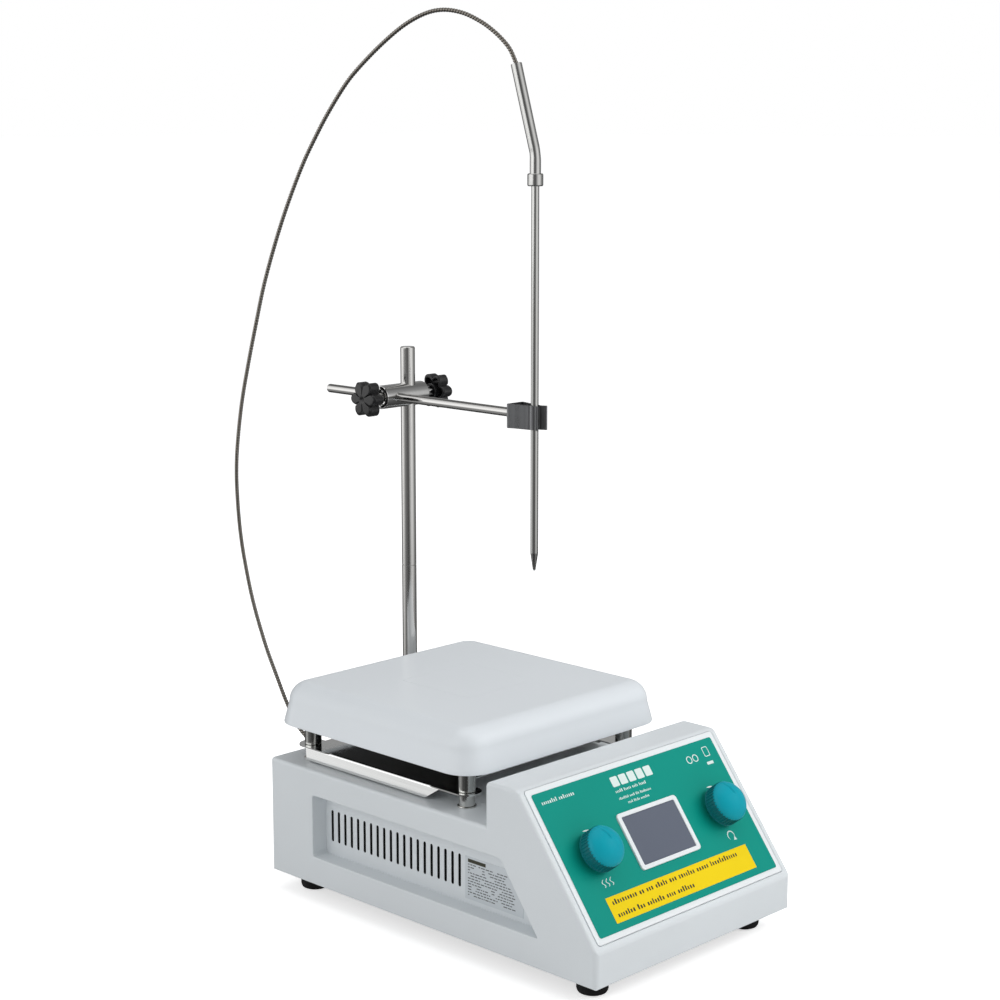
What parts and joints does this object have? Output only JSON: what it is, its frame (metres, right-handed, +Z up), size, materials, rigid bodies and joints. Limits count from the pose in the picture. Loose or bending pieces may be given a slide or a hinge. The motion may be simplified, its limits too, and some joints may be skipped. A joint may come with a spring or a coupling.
{
  "type": "magnetic stirrer",
  "caption": "Heated magnetic stirrer: wedge-fronted base with dials and a display, square enamelled plate on pillars, and a stand whose clamp, arm and clip hold a wired temperature probe.",
  "frame": {"origin": "on the bench under the middle of the whole unit, cable apart", "axes": "+Z up, +Y from the control panel to the rear, +X to the right of a person facing the panel"},
  "size_m": [0.182, 0.3737, 0.5667],
  "materials": {
    "housing_plastic": "fine satin texture",
    "panel_plastic": "satin",
    "cover_paint": "matt black paint",
    "rubber_black": "matt",
    "screw_steel": "plated",
    "overlay_green": "printed polyester film",
    "caution_yellow": "printed polyester film",
    "display_glass": "dark tinted window",
    "display_body": "moulded",
    "knob_teal": "semi-gloss moulding",
    "pot_metal": "plated can",
    "circuit_board": "solder mask",
    "transformer_core": "varnished core and windings",
    "bare_aluminium": "extruded",
    "label_white": "blank film",
    "plate_enamel": "white vitreous enamel on cast aluminium",
    "mica_heater": "mica sheet with winding",
    "insulation": "ceramic fibre",
    "plate_steel": "dark sheet steel",
    "spacer_steel": "turned",
    "shield_stainless": "mirror stainless sheet",
    "motor_metal": "painted case",
    "bracket_zinc": "zinc plated",
    "standoff_brass": "turned",
    "shaft_steel": "ground",
    "holder_aluminium": "machined",
    "magnet_nickel": "nickel plated",
    "inlet_black": "moulded",
    "pin_brass": "nickel plated",
    "fuse_glass": "clear tube",
    "connector_metal": "satin nickel",
    "cast_bracket": "die cast, satin",
    "rod_stainless": "polished stainless",
    "boss_chrome": "chromed",
    "knob_black": "moulded phenolic",
    "thread_steel": "threaded",
    "clip_steel": "dark spring steel",
    "probe_stainless": "polished stainless tube",
    "cable_armour": "wound steel hose"
  },
  "bodies": {
    "base": {"housing": "housing_plastic", "bottom_cover": "cover_paint", "cover_screws": "screw_steel", "foot_front_left": "rubber_black", "foot_front_right": "rubber_black", "foot_rear_left": "rubber_black", "foot_rear_right": "rubber_black", "panel_plate": "panel_plastic", "panel_overlay": "overlay_green", "caution_strip": "caution_yellow", "display_bezel": "panel_plastic", "display_window": "display_glass", "display_module": "display_body", "heat_potentiometer": "pot_metal", "stir_potentiometer": "pot_metal", "control_board": "circuit_board", "power_board": "circuit_board", "transformer": "transformer_core", "heat_sink": "bare_aluminium", "rating_label": "label_white", "heating_plate": "plate_enamel", "heater_element": "mica_heater", "insulation_pad": "insulation", "plate_cover": "plate_steel", "plate_sensor": "bare_aluminium", "upper_spacers": "spacer_steel", "lower_spacers": "spacer_steel", "heat_shield": "shield_stainless", "pillar_screws": "screw_steel", "stir_motor": "motor_metal", "motor_bracket": "bracket_zinc", "motor_standoffs": "standoff_brass", "mains_inlet": "inlet_black", "inlet_pins": "pin_brass", "inlet_screws": "screw_steel", "switch_body": "inlet_black", "probe_socket": "connector_metal", "probe_plug": "connector_metal", "rod_bracket": "cast_bracket", "bracket_screws": "screw_steel", "probe_cable": "cable_armour"},
    "heat_dial": {"heat_knob": "knob_teal"},
    "stir_dial": {"stir_knob": "knob_teal"},
    "rotor": {"motor_shaft": "shaft_steel", "magnet_holder": "holder_aluminium", "drive_magnets": "magnet_nickel"},
    "rocker": {"power_rocker": "inlet_black"},
    "fuse_tray": {"fuse_drawer": "inlet_black", "fuse": "fuse_glass"},
    "rod": {"stand_rod": "rod_stainless"},
    "boss": {"boss_body": "boss_chrome"},
    "rod_clamp_screw": {"rod_pad": "standoff_brass", "rod_screw": "thread_steel"},
    "rod_clamp_knob": {"rod_knob": "knob_black"},
    "arm_clamp_screw": {"arm_pad": "standoff_brass", "arm_screw": "thread_steel"},
    "arm_clamp_knob": {"arm_knob": "knob_black"},
    "arm": {"cross_arm": "rod_stainless", "probe_clip": "clip_steel"},
    "probe_assembly": {"probe": "probe_stainless"}
  },
  "joints": [
    {"name": "heat_knob_turn", "type": "hinge", "parent": "base", "child": "heat_dial", "pos_m": [-0.0575, -0.14627, 0.0767], "axis": [0, -0.7971, 0.6039], "range_deg": [-150, 150]},
    {"name": "stir_knob_turn", "type": "hinge", "parent": "base", "child": "stir_dial", "pos_m": [0.0575, -0.14627, 0.0767], "axis": [0, -0.7971, 0.6039], "range_deg": [-150, 150]},
    {"name": "stir_drive", "type": "hinge", "parent": "base", "child": "rotor", "pos_m": [0, 0.0145, 0.072], "axis": [0, 0, 1], "continuous": true},
    {"name": "power_rocker_tip", "type": "hinge", "parent": "base", "child": "rocker", "pos_m": [-0.022, 0.104, 0.042], "axis": [1, 0, 0], "range_deg": [-25, 0]},
    {"name": "fuse_drawer_pull", "type": "slide", "parent": "base", "child": "fuse_tray", "axis": [0, 1, 0], "range_m": [0, 0.018]},
    {"name": "stand_swivel", "type": "hinge", "parent": "base", "child": "rod", "pos_m": [0.044, 0.1165, 0.112], "axis": [0, 0, 1], "range_deg": [-60, 60], "deforming": ["probe_cable"]},
    {"name": "boss_height", "type": "slide", "parent": "rod", "child": "boss", "axis": [0, 0, 1], "range_m": [-0.04, 0.02], "deforming": ["probe_cable"]},
    {"name": "rod_screw_travel", "type": "slide", "parent": "boss", "child": "rod_clamp_screw", "axis": [1, 0, 0], "range_m": [0, 0.002]},
    {"name": "rod_knob_turn", "type": "hinge", "parent": "rod_clamp_screw", "child": "rod_clamp_knob", "pos_m": [0.064, 0.1165, 0.3135], "axis": [1, 0, 0], "range_deg": [0, 720]},
    {"name": "arm_screw_travel", "type": "slide", "parent": "boss", "child": "arm_clamp_screw", "axis": [-1, 0, 0], "range_m": [0, 0.002]},
    {"name": "arm_knob_turn", "type": "hinge", "parent": "arm_clamp_screw", "child": "arm_clamp_knob", "pos_m": [0.018, 0.1165, 0.3135], "axis": [-1, 0, 0], "range_deg": [0, 720]},
    {"name": "arm_reach", "type": "slide", "parent": "boss", "child": "arm", "axis": [0, 1, 0], "range_m": [-0.05, 0.09], "deforming": ["probe_cable"]},
    {"name": "probe_height", "type": "slide", "parent": "arm", "child": "probe_assembly", "axis": [0, 0, 1], "range_m": [-0.025, 0.08], "deforming": ["probe_cable"]}
  ],
  "couplings": [
    {"joint": "rod_screw_travel", "follows": "rod_knob_turn", "m_per_rad": 0.00015915},
    {"joint": "arm_screw_travel", "follows": "arm_knob_turn", "m_per_rad": 0.00015915}
  ]
}
